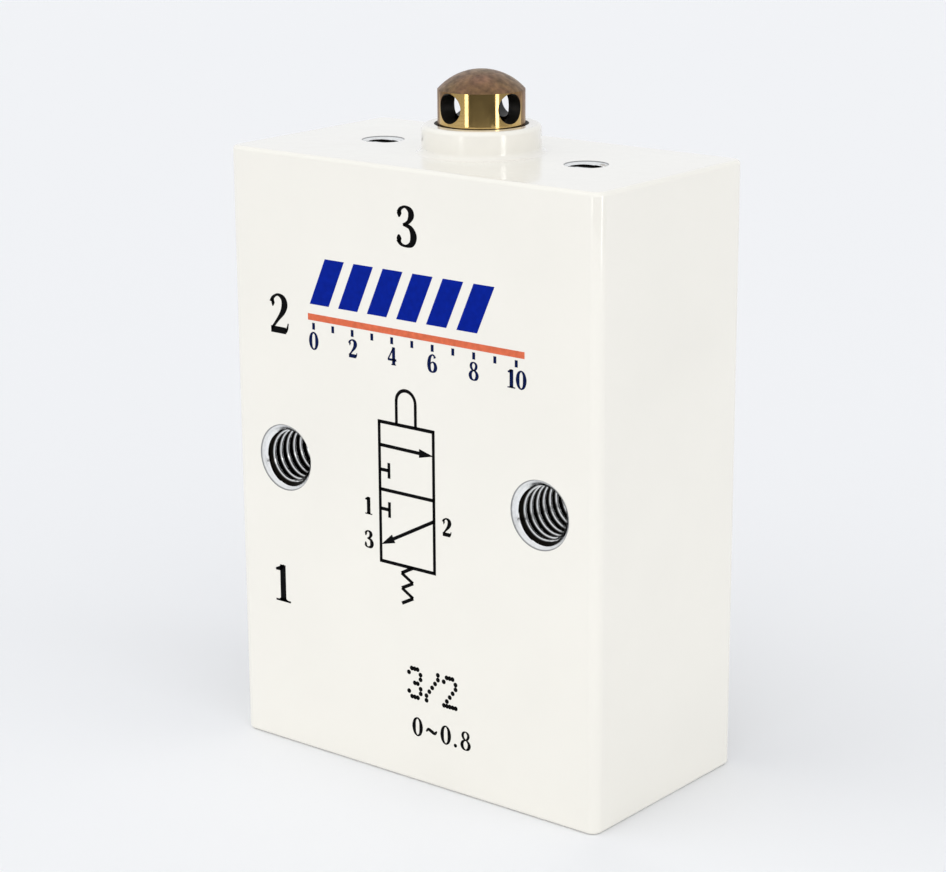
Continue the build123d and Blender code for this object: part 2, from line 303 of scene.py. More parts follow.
def lathe_turned_brass(add, place, colours):
    """Brass off the lathe: smooth metal with fine rings of the tool round its axis."""
    stain, tone = brass_metal(add, place, colours)
    across_rings = add("ShaderNodeMapping", place, inputs={"Scale": (0.02, 0.02, 1)})
    return {
        "Base Color": tone,
        "Metallic": 1,
        "Roughness": add(MAP_RANGE, stain, NOISE_LOW, NOISE_HIGH, 0.07, 0.13),
        "Normal": grain(add, across_rings, size=0.12, detail=2, depth=0.0012),
    }


def wiped_brass(add, place, colours):
    """The plunger's side: bright turned brass on the faces toward the front right and the back left, brown
    skin colour on the two sides between, so it darkens toward its edges as seen from the front right.
    """
    toward_bright_faces = (0.581, -0.814, 0)
    along = add("ShaderNodeVectorMath", place, toward_bright_faces, operation="DOT_PRODUCT").outputs["Value"]
    from_middle = add("ABSOLUTE", along)
    ragged = add(NOISE, place, 1 / (0.5 * MM), 3)
    fray = add("MULTIPLY_ADD", ragged, 0.3 * MM, -0.15 * MM)
    reach = add("ADD", from_middle, fray)
    # Brown skin colour on the two sides between the bright faces, darker toward the edges as seen from the
    # front right
    skin = add(MAP_RANGE, reach, 2.85 * MM, 2.6 * MM)
    stain, bright = brass_metal(add, place, colours)
    brown = brass_skin(add, place, colours, light=1.1, dark=0.6)[1]
    polish = add(MAP_RANGE, stain, NOISE_LOW, NOISE_HIGH, 0.06, 0.12)
    return {
        "Base Color": add(MIX, skin, bright, brown, data_type="RGBA"),
        "Metallic": 1,
        "Roughness": add(MAP_RANGE, skin, 0, 1, polish, 0.42),
    }


def oxidised_brass(add, place, colours):
    """Brass with its brown skin left on: dull, blotched and finely pitted."""
    blotch, tone = brass_skin(add, place, colours, light=1, dark=0.42)
    return {
        "Base Color": tone,
        "Metallic": 0.75,
        "Roughness": add(MAP_RANGE, blotch, NOISE_LOW, NOISE_HIGH, 0.4, 0.62),
        "Normal": grain(add, place, size=0.16, detail=4, depth=0.02),
        "Sheen Weight": 0.15,
    }


def bright_spring_wire(add, place, colours):
    """Drawn spring wire: bright, with a faint grey skin that varies along it."""
    tone = mottle(add, place, size=0.9, detail=3, value=colours.steel, share=0.7)[1]
    return {"Base Color": tone, "Metallic": 1, "Roughness": 0.28}


def nitrile_rubber(add, place, colours):
    """Moulded nitrile rubber: black, with a soft sheen and a dusty bloom."""
    tone = mottle(add, place, size=0.8, detail=3, value=colours.rubber, share=1.6)[1]
    relief = grain(add, place, size=0.2, detail=3, depth=0.004)
    return {"Base Color": tone, "Roughness": 0.55, "Normal": relief}


def screen_ink(add, place, value):
    """Screen-printed enamel ink: dense, half gloss, a little uneven where the mesh let less through."""
    patches, tone = mottle(add, place, size=0.5, detail=3, value=value, share=1.3)
    gloss = add(MAP_RANGE, patches, NOISE_LOW, NOISE_HIGH, 0.28, 0.45)
    return {"Base Color": tone, "Roughness": gloss, "Specular IOR Level": 0.04}


MAKERS = (
    gloss_cream_enamel, machined_aluminium, tapped_aluminium, old_grease, lathe_turned_brass, wiped_brass,
    oxidised_brass, bright_spring_wire, nitrile_rubber,
)


def finish(name):
    """The material of that name, made by the function of its name, or as an ink, when first asked for."""
    if name in bpy.data.materials:
        return bpy.data.materials[name]
    colours = bpy.context.scene.valve_colours
    material, add, place = new_material(name)
    for maker in MAKERS:
        if maker.__name__ == name:
            return surfaced(material, add, maker(add, place, colours))
    ink = getattr(colours, name.replace("_screen", ""))
    return surfaced(material, add, screen_ink(add, place, ink))


def show(name, content):
    """Put a mesh, lamp or camera in the scene as an object of that name."""
    thing = bpy.data.objects.new(name, content)
    bpy.context.scene.collection.objects.link(thing)
    return thing


def settle(name, mesh, body):
    """Make a finished mesh a piece that rides on a body."""
    piece = show(name, mesh)
    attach(piece, body)
    return piece


def mesh_of(name, shape):
    """The plain mesh of a finished bmesh."""
    mesh = bpy.data.meshes.new(name)
    shape.to_mesh(mesh)
    shape.free()
    return mesh


def mesh_out_of(host):
    """The plain mesh that an object's modifier makes. The object goes."""
    graph = bpy.context.evaluated_depsgraph_get()
    mesh = bpy.data.meshes.new_from_object(host.evaluated_get(graph))
    bpy.data.objects.remove(host)
    return mesh


def merged_copy(node, name):
    """A copy of a CAD node's mesh whose triangles share their corners."""
    welded = bmesh.new()
    welded.from_mesh(frame["nodes"][node].data)
    bmesh.ops.remove_doubles(welded, verts=welded.verts, dist=0.0005 * MM)
    bmesh.ops.dissolve_degenerate(welded, edges=welded.edges, dist=0.0002 * MM)
    mesh = mesh_of(name, welded)
    mesh.materials.clear()
    return mesh


def smoothed_by_area(mesh, crease):
    """The mesh shaded smooth between sharp edges, with flat faces ruling the corners they share."""
    mesh.shade_smooth()
    mesh.set_sharp_from_angle(angle=crease)
    host = show(mesh.name, mesh)
    weighted = host.modifiers.new("area_normals", "WEIGHTED_NORMAL")
    weighted.keep_sharp = True
    weighted.weight = 100
    return mesh_out_of(host)


def off_axis(point, centre, axis):
    """Distance of a point from the line through centre along axis."""
    reach = Vector(point) - Vector(centre)
    return (reach - reach.dot(axis) * axis).length


def hole_pair(name):
    """The radius, the direction out and the mouths' places of a mount that is a pair of holes."""
    mount = MOUNTS[name]
    middle, half = Vector(mount["pos_m"]), Vector((mount["dims"]["spacing_x_mm"] * MM / 2, 0, 0))
    return {
        "radius": mount["dims"]["hole_r_mm"] * MM, "axis": Vector(mount["axis"]),
        "places": [middle - half, middle + half],
    }


def hole_kinds(threads):
    """Each kind of threaded hole: its mouths' places, the direction out of them, and its sizes."""
    through = BLOCK_HIGH.y - BLOCK_LOW.y
    ports = [MOUNTS["port_a"], MOUNTS["port_p"]]
    return {
        "port_threads": {
            "radius": ports[0]["dims"]["r_mm"] * MM, "axis": Vector(ports[0]["axis"]),
            "places": [Vector((BLOCK_LOW.x, 0, port["pos_m"][2])) for port in ports],
            "pitch": threads.port_pitch, "chamfer": threads.port_chamfer, "length": threads.port_length,
            "depth": -BLOCK_LOW.x, "columns": 72, "start": 0,
        },
        "mounting_threads": {
            **hole_pair("mounting_holes"), "pitch": threads.mount_pitch, "chamfer": threads.mount_chamfer,
            "length": through - 2 * threads.mount_chamfer, "depth": through, "columns": 44,
            "start": threads.mount_start,
        },
        "bracket_threads": {
            **hole_pair("bracket_holes"), "pitch": threads.bracket_pitch, "chamfer": threads.bracket_chamfer,
            "length": threads.bracket_length, "depth": 7 * MM, "columns": 32, "start": 0,
        },
    }


def is_in_hole(centre, holes):
    """True for a face inside a threaded hole, which the paint doesn't reach."""
    slack = 0.01 * MM
    for place, axis, mouth, depth in holes:
        below = (place - centre).dot(axis)
        if -slack < below < depth + slack and off_axis(centre, place, axis) < mouth + slack:
            return True
    return False


def mark_rims(mesh, holes):
    """Mark the corners on each hole's rim, where the paint ends and the bare chamfer begins."""
    rim = mesh.attributes.new("rim", "FLOAT", "POINT")
    slack = 0.03 * MM
    for vertex, mark in zip(mesh.vertices, rim.data):
        for place, axis, mouth, depth in holes:
            at_mouth = abs((place - vertex.co).dot(axis)) < slack
            if at_mouth and abs(off_axis(vertex.co, place, axis) - mouth) < slack:
                mark.value = 1


def shade_truly(mesh, crease, true_normal):
    """Shade smooth between sharp edges, with the true direction of a corner where true_normal knows it."""
    mesh.shade_smooth()
    mesh.set_sharp_from_angle(angle=crease)
    normals = []
    for face in mesh.polygons:
        for corner in face.loop_indices:
            known = true_normal(face, mesh.loops[corner].vertex_index)
            normals.append(known or Vector(mesh.corner_normals[corner].vector))
    mesh.normals_split_custom_set(normals)


def true_directions(mesh):
    """For each corner of the block's flat faces and round neck, the directions of those surfaces there."""
    planes = [(2, BLOCK_TOP, Vector((0, 0, 1)))]
    for axis in range(3):
        for place, sign in ((BLOCK_LOW[axis], -1), (BLOCK_HIGH[axis], 1)):
            planes.append((axis, place, sign * Matrix.Identity(3)[axis]))
    found = {}
    off_plane, along, upright = 0.002 * MM, 0.9999, 0.01
    for face in mesh.polygons:
        for axis, place, direction in planes:
            if abs(face.center[axis] - place) < off_plane and face.normal.dot(direction) > along:
                for vertex in face.vertices:
                    found.setdefault(vertex, []).append(direction)
        if face.center.z > BLOCK_TOP and abs(face.normal.z) < upright and face.normal.dot(face.center) > 0:
            for vertex in face.vertices:
                x, y, z = mesh.vertices[vertex].co
                found.setdefault(vertex, []).append(Vector((x, y, 0)).normalized())
    return found


class VALVE_OT_painted_block(bpy.types.Operator):
    """Make the enamelled block with its bare metal holes"""

    bl_idname = "valve.painted_block"
    bl_label = "Painted block"

    def execute(self, context):
        holes = [
            (place, kind["axis"], kind["radius"] + kind["chamfer"], kind["depth"])
            for kind in hole_kinds(context.scene.valve_threads).values() for place in kind["places"]
        ]
        mesh = merged_copy("valve_body", "painted_block")
        for name in ("gloss_cream_enamel", "machined_aluminium", "old_grease"):
            mesh.materials.append(finish(name))
        bore_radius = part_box("bottom_plug")[1].x + 0.45 * MM
        neck_bore_radius = context.scene.valve_plunger.radius + 0.33 * MM
        neck_bore_bottom = BLOCK_TOP - 4 * MM
        for face in mesh.polygons:
            from_bore = math.hypot(face.center.x, face.center.y)
            in_bore = face.center.z < neck_bore_bottom and from_bore < bore_radius
            if in_bore or is_in_hole(face.center, holes):
                face.material_index = 1
            # The narrow gap round the plunger gets the near-black grease material: grease, and painted shade
            # in that gap
            elif from_bore < neck_bore_radius:
                face.material_index = 2
        mark_rims(mesh, holes)
        directions = true_directions(mesh)
        least_along = math.cos(BLOCK_CREASE)

        def true_normal(face, vertex):
            near = [way for way in directions.get(vertex, ()) if face.normal.dot(way) > least_along]
            return near[-1] if near else None

        shade_truly(mesh, BLOCK_CREASE, true_normal)
        piece = settle("painted_block", mesh, "housing")
        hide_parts("valve_body")
        return {"FINISHED"}


def new_tree(name, sockets):
    """A geometry tree with named inputs, what adds a node to it, and those inputs as seen inside."""
    tree = bpy.data.node_groups.new(name, "GeometryNodeTree")
    for label, kind in (*sockets.items(), ("Material", "Material")):
        tree.interface.new_socket(label, in_out="INPUT", socket_type="NodeSocket" + kind)
    tree.interface.new_socket("Geometry", in_out="OUTPUT", socket_type="NodeSocketGeometry")
    add = partial(add_node, tree)
    return tree, add, add("NodeGroupInput").outputs


def close_tree(tree, geometry, given):
    """End a tree in Realize Instances and Set Material."""
    real = add_node(tree, "GeometryNodeRealizeInstances", geometry)
    covered = add_node(tree, "GeometryNodeSetMaterial", real, inputs={"Material": given["Material"]})
    add_node(tree, "NodeGroupOutput", covered)
    return tree


def grow(name, tree, finish_name, values, points=()):
    """Run a tree once and keep the plain mesh that it makes."""
    seed = bpy.data.meshes.new(name)
    seed.from_pydata(points, [], [])
    host = show(name, seed)
    modifier = host.modifiers.new("make", "NODES")
    modifier.node_group = tree
    values = {**values, "Material": finish(finish_name)}
    for item in tree.interface.items_tree:
        if item.item_type == "SOCKET" and item.in_out == "INPUT" and item.name in values:
            modifier[item.identifier] = values[item.name]
    mesh = mesh_out_of(host)
    mesh.materials.clear()
    mesh.materials.append(values["Material"])
    for face in mesh.polygons:
        face.material_index = 0
    return mesh


def thread_tree():
    """A threaded sleeve along +Z, rolled from a grid whose rows follow the helix.

    The rows between the first and the last lie on the thread, and the others close the sleeve behind
    the hole's wall. Both ends are countersunk at 45 degrees.
    """
    tree, add, given = new_tree("threaded_sleeve", {
        "Major radius": "Float", "Minor radius": "Float", "Pitch": "Float", "Length": "Float",
        "Rows": "Int", "Rows per turn": "Float", "Columns": "Int", "Buried": "Float",
    })
    major, minor, span, rows = (given[name] for name in ("Major radius", "Minor radius", "Length", "Rows"))
    grid = add("GeometryNodeMeshGrid", 1, 1, given["Columns"], add("ADD", rows, 3))
    flat = add("ShaderNodeSeparateXYZ", add("GeometryNodeInputPosition")).outputs
    way_round = add("ADD", flat["X"], 0.5)
    last = add("ADD", rows, 2)
    row = add("MULTIPLY", add("ADD", flat["Y"], 0.5), last)
    row = add("MODULO", add("ROUND", row), last)

    # Each row lies a little further along the helix, and the ends of the sleeve cut it off
    turns = add("DIVIDE", row, given["Rows per turn"])
    ahead = add("SUBTRACT", add("ADD", turns, way_round), 1)
    depth = add("ShaderNodeClamp", add("MULTIPLY", ahead, given["Pitch"]), 0, span)

    # A groove with a flat at its root and at its crest, and the countersink's cone
    phase = add("FRACT", add("ADD", turns, 0.5))
    from_groove = add("ABSOLUTE", add("SUBTRACT", phase, 0.5))
    thread = add(MAP_RANGE, from_groove, 1 / 16, 3 / 8, major, minor)
    from_end = add("MINIMUM", depth, add("SUBTRACT", span, depth))
    cone = add("SUBTRACT", major, from_end)
    inner = add("MAXIMUM", thread, cone)

    # The rows that aren't on the helix lie behind the wall
    outer = add("ADD", major, given["Buried"])
    half = add("DIVIDE", rows, 2)
    middle = add("ADD", half, 0.5)
    on_helix = add("COMPARE", row, middle, half)
    radius = add(MAP_RANGE, on_helix, 0, 1, outer, inner)
    turn = add("MULTIPLY", way_round, 2 * math.pi)
    place = add(
        "ShaderNodeCombineXYZ",
        add("MULTIPLY", radius, add("COSINE", turn)),
        add("MULTIPLY", radius, add("SINE", turn)),
        depth,
    )
    # Share toward the root, stored as the groove attribute: the material darkens it as oil and as painted
    # shade in the groove
    toward_root = add(MAP_RANGE, thread, minor, major)
    on_thread = add("GREATER_THAN", thread, cone)
    oil_and_shade_share = add("MULTIPLY", toward_root, on_thread)
    marked = add("GeometryNodeStoreNamedAttribute", grid, inputs={"Name": "groove", "Value": oil_and_shade_share})
    rolled = add("GeometryNodeSetPosition", marked, inputs={"Position": place})
    sleeve = add("GeometryNodeMergeByDistance", rolled, inputs={"Distance": 0.001 * MM})
    return close_tree(tree, sleeve, given)


def coil_tree():
    """A compression spring: round wire along a helix whose end turns lie closed."""
    tree, add, given = new_tree("coil_spring", {
        "Coil radius": "Float", "Wire radius": "Float", "Length": "Float", "Turns": "Float",
        "Closed turns": "Float",
    })
    radius, wire, turns, closed = (
        given[name] for name in ("Coil radius", "Wire radius", "Turns", "Closed turns")
    )
    helix = add("GeometryNodeCurveSpiral", 40, turns, radius, radius, 0, True)
    turn = add("MULTIPLY", add("GeometryNodeSplineParameter"), turns)
    thickness = add("MULTIPLY", wire, 2)

    # The open turns climb evenly over the height that the closed ones leave free
    open_end = add("SUBTRACT", turns, closed)
    end_height = add("MULTIPLY", add("ADD", closed, 0.5), thickness)
    free_height = add("MULTIPLY_ADD", end_height, -2, given["Length"])
    climb = add(MAP_RANGE, turn, closed, open_end, 0, free_height)

    # Each closed turn rises by the wire's thickness
    foot = add("MINIMUM", turn, closed)
    head = add("MAXIMUM", add("SUBTRACT", turn, open_end), 0)
    rise = add("MULTIPLY_ADD", add("ADD", foot, head), thickness, climb)
    lift = add("ShaderNodeCombineXYZ", 0, 0, add("ADD", rise, wire))
    raised = add("GeometryNodeSetPosition", helix, inputs={"Offset": lift})
    section = add("GeometryNodeCurvePrimitiveCircle", inputs={"Resolution": 14, "Radius": wire})
    wound = add("GeometryNodeCurveToMesh", raised, section, inputs={"Fill Caps": True})
    return close_tree(tree, wound, given)


def joined(name, meshes):
    """One mesh out of several."""
    whole = bmesh.new()
    for mesh in meshes:
        whole.from_mesh(mesh)
    bmesh.ops.recalc_face_normals(whole, faces=whole.faces)
    result = mesh_of(name, whole)
    result.materials.append(meshes[0].materials[0])
    result.shade_smooth()
    result.set_sharp_from_angle(angle=GROWN_CREASE)
    return result


class VALVE_OT_threads(bpy.types.Operator):
    """Cut the threads of the ports, the mounting holes and the bracket holes"""

    bl_idname = "valve.threads"
    bl_label = "Threads"

    def execute(self, context):
        tree = thread_tree()
        rows_per_turn, depth_in_pitches, clearance = 16, 0.54, 0.005 * MM
        for name, kind in hole_kinds(context.scene.valve_threads).items():
            major, pitch, span = kind["radius"], kind["pitch"], kind["length"]
            values = {
                "Major radius": major - clearance, "Minor radius": major - depth_in_pitches * pitch,
                "Pitch": pitch, "Length": span, "Rows": math.ceil(rows_per_turn * (span / pitch + 1)),
                "Rows per turn": float(rows_per_turn), "Columns": kind["columns"] + 1, "Buried": 0.05 * MM,
            }
            turn = (-kind["axis"]).to_track_quat("Z", "Y").to_matrix().to_4x4()
            turn @= Matrix.Rotation(kind["start"], 4, "Z")
            sleeves = []
            for place in kind["places"]:
                sleeve = grow(name, tree, "tapped_aluminium", values)
                below_chamfer = place - kind["axis"] * kind["chamfer"]
                sleeve.transform(Matrix.Translation(below_chamfer) @ turn)
                sleeves.append(sleeve)
            settle(name, joined(name, sleeves), "housing")
        return {"FINISHED"}


class VALVE_OT_plunger(bpy.types.Operator):
    """Make the hollow brass plunger with its oxidised dome"""

    bl_idname = "valve.plunger"
    bl_label = "Plunger"

    def execute(self, context):
        mesh = merged_copy("plunger", "brass_plunger")
        for name in ("lathe_turned_brass", "wiped_brass", "oxidised_brass", "old_grease"):
            mesh.materials.append(finish(name))
        sizes = context.scene.valve_plunger
        radius, dome_height = sizes.radius, sizes.dome_height
        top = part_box("plunger")[1].z
        shoulder = top - dome_height
        dome_centre = Vector((0, 0, top - (radius ** 2 + dome_height ** 2) / (2 * dome_height)))
        side_start = radius * math.cos(math.radians(8))
        slack, upward, upright, facing = 0.004 * MM, 0.1, 0.02, 0.9
        for face in mesh.polygons:
            if face.center.z < BLOCK_TOP:
                face.material_index = 0
            elif face.center.z > shoulder and face.normal.z > upward:
                face.material_index = 2
            elif math.hypot(face.center.x, face.center.y) > side_start:
                face.material_index = 1
            # The bore and cross holes inside the head get the near-black grease material: grease, and painted
            # shade in those hollows
            else:
                face.material_index = 3

        def true_normal(face, vertex):
            point = mesh.vertices[vertex].co
            radial = Vector((point.x, point.y, 0))
            if point.z > shoulder - slack and face.normal.z > upward:
                return (point - dome_centre).normalized()
            if abs(face.normal.z) > upright:
                return None
            outward = face.normal.dot(radial.normalized())
            if outward > facing and abs(radial.length - radius) < slack:
                return radial.normalized()
            return -radial.normalized() if outward < -facing else None

        shade_truly(mesh, BRASS_CREASE, true_normal)
        piece = settle("brass_plunger", mesh, "push_rod")
        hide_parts("plunger")
        return {"FINISHED"}


class VALVE_OT_bottom_plug(bpy.types.Operator):
    """Make the screwed brass plug in the underside"""

    bl_idname = "valve.bottom_plug"
    bl_label = "Bottom plug"

    def execute(self, context):
        mesh = merged_copy("bottom_plug", "brass_bottom_plug")
        mesh.materials.append(finish("lathe_turned_brass"))
        mesh = smoothed_by_area(mesh, BRASS_CREASE)
        piece = settle("brass_bottom_plug", mesh, "housing")
        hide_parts("bottom_plug")
        return {"FINISHED"}


class VALVE_OT_springs(bpy.types.Operator):
    """Wind the two springs"""

    bl_idname = "valve.springs"
    bl_label = "Springs"

    def execute(self, context):
        tree = coil_tree()
        for node, joint, wire_radius, turns in (
            ("plunger_spring", "plunger_press", 0.3 * MM, 7.5),
            ("poppet_spring", "poppet_lift", 0.35 * MM, 7.0),
        ):
            low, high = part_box(node)
            name = "wound_" + node
            mesh = grow(name, tree, "bright_spring_wire", {
                "Coil radius": high.x - wire_radius, "Wire radius": wire_radius, "Length": high.z - low.z,
                "Turns": turns, "Closed turns": 1.0,
            })
            mesh.transform(Matrix.Translation((0, 0, low.z)))
            piece = settle(name, joined(name, [mesh]), "housing")
            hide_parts(node)
            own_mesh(piece)
        return {"FINISHED"}


class VALVE_OT_inner_pieces(bpy.types.Operator):
    """Give the seals, bush, seat, cage, poppet and snap ring their finishes"""

    bl_idname = "valve.inner_pieces"
    bl_label = "Inner pieces"

    def execute(self, context):
        finishes = {
            "lathe_turned_brass": ("guide_bush", "valve_seat", "valve_cage", "poppet"),
            "bright_spring_wire": ("bush_snap_ring",),
            "nitrile_rubber": ("plunger_seal", "valve_seat_seal", "poppet_seal_disc", "bottom_plug_seal"),
        }
        for name, nodes in finishes.items():
            for node in nodes:
                mesh = frame["nodes"][node].data
                mesh.materials.clear()
                mesh.materials.append(finish(name))
        return {"FINISHED"}


def bend_through(points, closed, steps=8):
    """Points of a smooth curve through (x, z, width) points."""
    ends = [points[-1], *points, points[0], points[1]] if closed else [points[0], *points, points[-1]]
    curve = []
    for one, two, three, four in zip(ends, ends[1:], ends[2:], ends[3:]):
        for step in range(steps):
            t = step / steps
            curve.append(tuple(
                0.5 * (2 * b + (c - a) * t + (2 * a - 5 * b + 4 * c - d) * t ** 2
                       + (3 * b - a - 3 * c + d) * t ** 3)
                for a, b, c, d in zip(one, two, three, four)
            ))
    return curve if closed else curve + [points[-1]]


def lay_polygon(ink, outline):
    """Add a flat polygon of (x, z) points."""
    ink.faces.new([ink.verts.new((x, 0, z)) for x, z in outline])


def lay_stroke(ink, points, smooth=False, closed=False):
    """Add a ribbon along (x, z, width) points."""
    line = bend_through(points, closed) if smooth else list(points)
    count = len(line)
    sides = []
    for place, (x, z, width) in enumerate(line):
        before = line[place - 1] if place or closed else line[place]
        after = line[(place + 1) % count] if place < count - 1 or closed else line[place]
        along = Vector((after[0] - before[0], after[1] - before[1])).normalized()
        across = Vector((-along.y, along.x)) * width / 2
        sides.append((
            ink.verts.new((x + across.x, 0, z + across.y)), ink.verts.new((x - across.x, 0, z - across.y))
        ))
    for place in range(count if closed else count - 1):
        (left, right), (next_left, next_right) = sides[place], sides[(place + 1) % count]
        ink.faces.new((left, right, next_right, next_left))


def lay_disc(ink, x, z, radius, corners=20):
    """Add a flat disc."""
    turn = 2 * math.pi / corners
    lay_polygon(ink, [
        (x + radius * math.cos(turn * step), z + radius * math.sin(turn * step)) for step in range(corners)
    ])


# Strokes of each numeral in hundredths of its height, as (across, up, width), and if they bend and close
NUMERALS = {
    "0": [
        ([(32, 97, 6), (15, 83, 12), (9, 50, 17), (15, 17, 12),
          (32, 3, 6), (49, 17, 12), (55, 50, 17), (49, 83, 12)], True, True),
    ],
    "1": [
        ([(34, 2, 17), (34, 98, 17)], False, False),
        ([(38, 98.5, 3), (26, 88.5, 10), (10, 84, 5)], True, False),
        ([(9, 2.2, 4.5), (59, 2.2, 4.5)], False, False),
        ([(20, 5, 1), (25, 5, 7), (43, 5, 7), (48, 5, 1)], False, False),
    ],
    "2": [
        ([(12, 76, 15), (16, 88, 8), (32, 96.5, 6), (49, 89, 14),
          (54, 73, 18), (47, 54, 14), (30, 33, 8), (9, 8, 6)], True, False),
        ([(7, 7.5, 15), (57, 7.5, 15)], False, False),
        ([(55, 6, 10), (61, 13, 6), (65, 27, 3)], True, False),
        ([(10, 75, 1), (13, 75, 16), (16, 75, 16), (21, 75, 1)], True, False),
    ],
    "3": [
        ([(13, 81, 13), (18, 91, 8), (32, 96.5, 6), (47, 89, 14),
          (50, 76, 16), (41, 61, 9), (25, 53.5, 5)], True, False),
        ([(25, 53.5, 5), (47, 48, 11), (57, 29, 18), (51, 10, 14),
          (33, 3, 6), (17, 7, 8), (11, 17, 14)], True, False),
        ([(7, 80, 1), (11, 80, 16), (16, 80, 16), (21, 80, 1)], True, False),
        ([(5, 19, 1), (9, 19, 16), (15, 19, 16), (20, 19, 1)], True, False),
    ],
    "4": [
        ([(45, 2, 15), (45, 98, 15)], False, False),
        ([(44, 95, 6), (6, 29, 6)], False, False),
        ([(4, 28, 9), (64, 28, 9)], False, False),
        ([(29, 2.2, 4.5), (61, 2.2, 4.5)], False, False),
    ],
    "6": [
        ([(51, 80, 13), (45, 92, 8), (33, 96.5, 6), (16, 80, 13),
          (10, 45, 17), (15, 14, 14), (33, 3, 6), (50, 14, 14),
          (55, 31, 16), (49, 49, 12), (34, 57, 5), (16, 44, 5)], True, False),
    ],
    "8": [
        ([(32, 97.5, 5), (18, 90, 10), (14, 76, 12), (20, 62, 10),
          (32, 54, 6), (44, 62, 10), (50, 76, 12), (46, 90, 10)], True, True),
        ([(32, 54, 5), (15, 44, 11), (9, 27, 15), (16, 10, 12),
          (32, 2.5, 5), (48, 10, 12), (55, 27, 15), (49, 44, 11)], True, True),
    ],
}


def lay_numeral(ink, numeral, x, z, height, weight=1.0):
    """Add a serif numeral with its lower left corner at (x, z), its strokes wider by weight."""
    unit = height / 100
    for points, smooth, closed in NUMERALS[numeral]:
        placed = [(x + across * unit, z + up * unit, width * unit * weight) for across, up, width in points]
        lay_stroke(ink, placed, smooth, closed)


def dry_ink(name, ink, finish_name):
    """Give laid ink its thickness and put it on the block's front face."""
    sizes = bpy.context.scene.valve_print
    bmesh.ops.recalc_face_normals(ink, faces=ink.faces)
    for face in ink.faces:
        if face.normal.y > 0:
            face.normal_flip()
    extruded = bmesh.ops.extrude_face_region(ink, geom=list(ink.faces))
    proud = [part for part in extruded["geom"] if isinstance(part, bmesh.types.BMVert)]
    bmesh.ops.translate(ink, verts=proud, vec=(0, -(sizes.proud + sizes.buried), 0))
    bmesh.ops.translate(ink, verts=ink.verts, vec=(0, FRONT_Y + sizes.buried, 0))
    bmesh.ops.recalc_face_normals(ink, faces=ink.faces)
    mesh = mesh_of(name, ink)
    mesh.materials.append(finish(finish_name))
    settle(name, mesh, "housing")


class VALVE_OT_port_numerals(bpy.types.Operator):
    """Print the numerals 1, 2 and 3 beside the supply, the outlet and the exhaust"""

    bl_idname = "valve.port_numerals"
    bl_label = "Port numerals"

    def execute(self, context):
        height = context.scene.valve_print.port_numeral
        for numeral, x, z in (("3", -0.95, 43.87), ("2", -14.45, 35.24), ("1", -14.75, 12.33)):
            ink = bmesh.new()
            lay_numeral(ink, numeral, x * MM, z * MM, height, weight=1.1)
            dry_ink("port_numeral_" + numeral, ink, "black_screen_ink")
        return {"FINISHED"}


class VALVE_OT_valve_symbol(bpy.types.Operator):
    """Print the circuit symbol of a plunger-operated, spring-returned 3/2 valve"""

    bl_idname = "valve.valve_symbol"
    bl_label = "Valve symbol"

    def execute(self, context):
        sizes = context.scene.valve_print
        left, right, bottom, middle, top = (size * MM for size in (-2.87, 2.65, 18.1, 24.07, 29.62))
        half = sizes.line / 2
        routes = [[(left - half, z), (right + half, z)] for z in (bottom, middle, top)]
        routes += [[(x, bottom), (x, top)] for x in (left, right)]
        routes += [self.push_rod(top), *self.spring(bottom)]
        stop, stop_half = left + 0.95 * MM, 0.64 * MM
        for z in (25.7 * MM, 22.47 * MM):
            routes += [[(left, z), (stop, z)], [(stop, z - stop_half), (stop, z + stop_half)]]
        ink = bmesh.new()
        for route in routes:
            lay_stroke(ink, [(x, z, sizes.line) for x, z in route])
        self.lay_arrow(ink, (left, 27.72 * MM), (right, 27.66 * MM), sizes.line)
        self.lay_arrow(ink, (right, 22.37 * MM), (left + 0.05 * MM, 19.47 * MM), sizes.line)
        for numeral, x, z in (("1", -4.6, 21.72), ("3", -4.65, 18.9), ("2", 3.42, 21.45)):
            lay_numeral(ink, numeral, x * MM, z * MM, sizes.small_numeral, weight=1.45)
        dry_ink("valve_symbol", ink, "black_screen_ink")
        return {"FINISHED"}

    def push_rod(self, top):
        """The outline of the round-ended push rod above the boxes."""
        centre, radius, shoulder = -0.1 * MM, 0.97 * MM, top + 1.9 * MM
        steps = 16
        arc = []
        for step in range(steps + 1):
            turn = math.pi * (1 - step / steps)
            arc.append((centre + radius * math.cos(turn), shoulder + radius * math.sin(turn)))
        return [(centre - radius, top), *arc, (centre + radius, top)]

    def spring(self, bottom):
        """The strokes of the return spring's zigzag below the boxes."""
        zigzag = ((0.43, 0.0), (-0.76, -0.63), (0.43, -1.29), (-0.74, -1.88), (0.43, -2.55), (-0.74, -3.16))
        corners = [(x * MM, bottom + z * MM) for x, z in zigzag]
        return zip(corners, corners[1:])

    def lay_arrow(self, ink, start, end, line):
        """A flow arrow with a slim head."""
        head_length, head_half = 1.45 * MM, 0.36 * MM
        tail, tip = Vector(start), Vector(end)
        along = (tip - tail).normalized()
        across = Vector((-along.y, along.x)) * head_half
        neck = tip - along * head_length
        lay_stroke(ink, [(*tail, line), (*neck, line)])
        lay_polygon(ink, [tip, neck + across, neck - across])


CORNERS = ("Lower left", "Lower right", "Upper right", "Upper left")


def corners_of(width, low, high, lean=0):
    """The corners of a flat mark between two heights, its top moved right by lean."""
    return dict(zip(CORNERS, ((0, low, 0), (width, low, 0), (width + lean, high, 0), (lean, high, 0))))


def fill_at_points(add, outline, given):
    """A flat mark of an outline's shape at each point of the seed mesh."""
    flat = add("GeometryNodeFillCurve", outline)
    return add("GeometryNodeInstanceOnPoints", given["Geometry"], inputs={"Instance": flat})


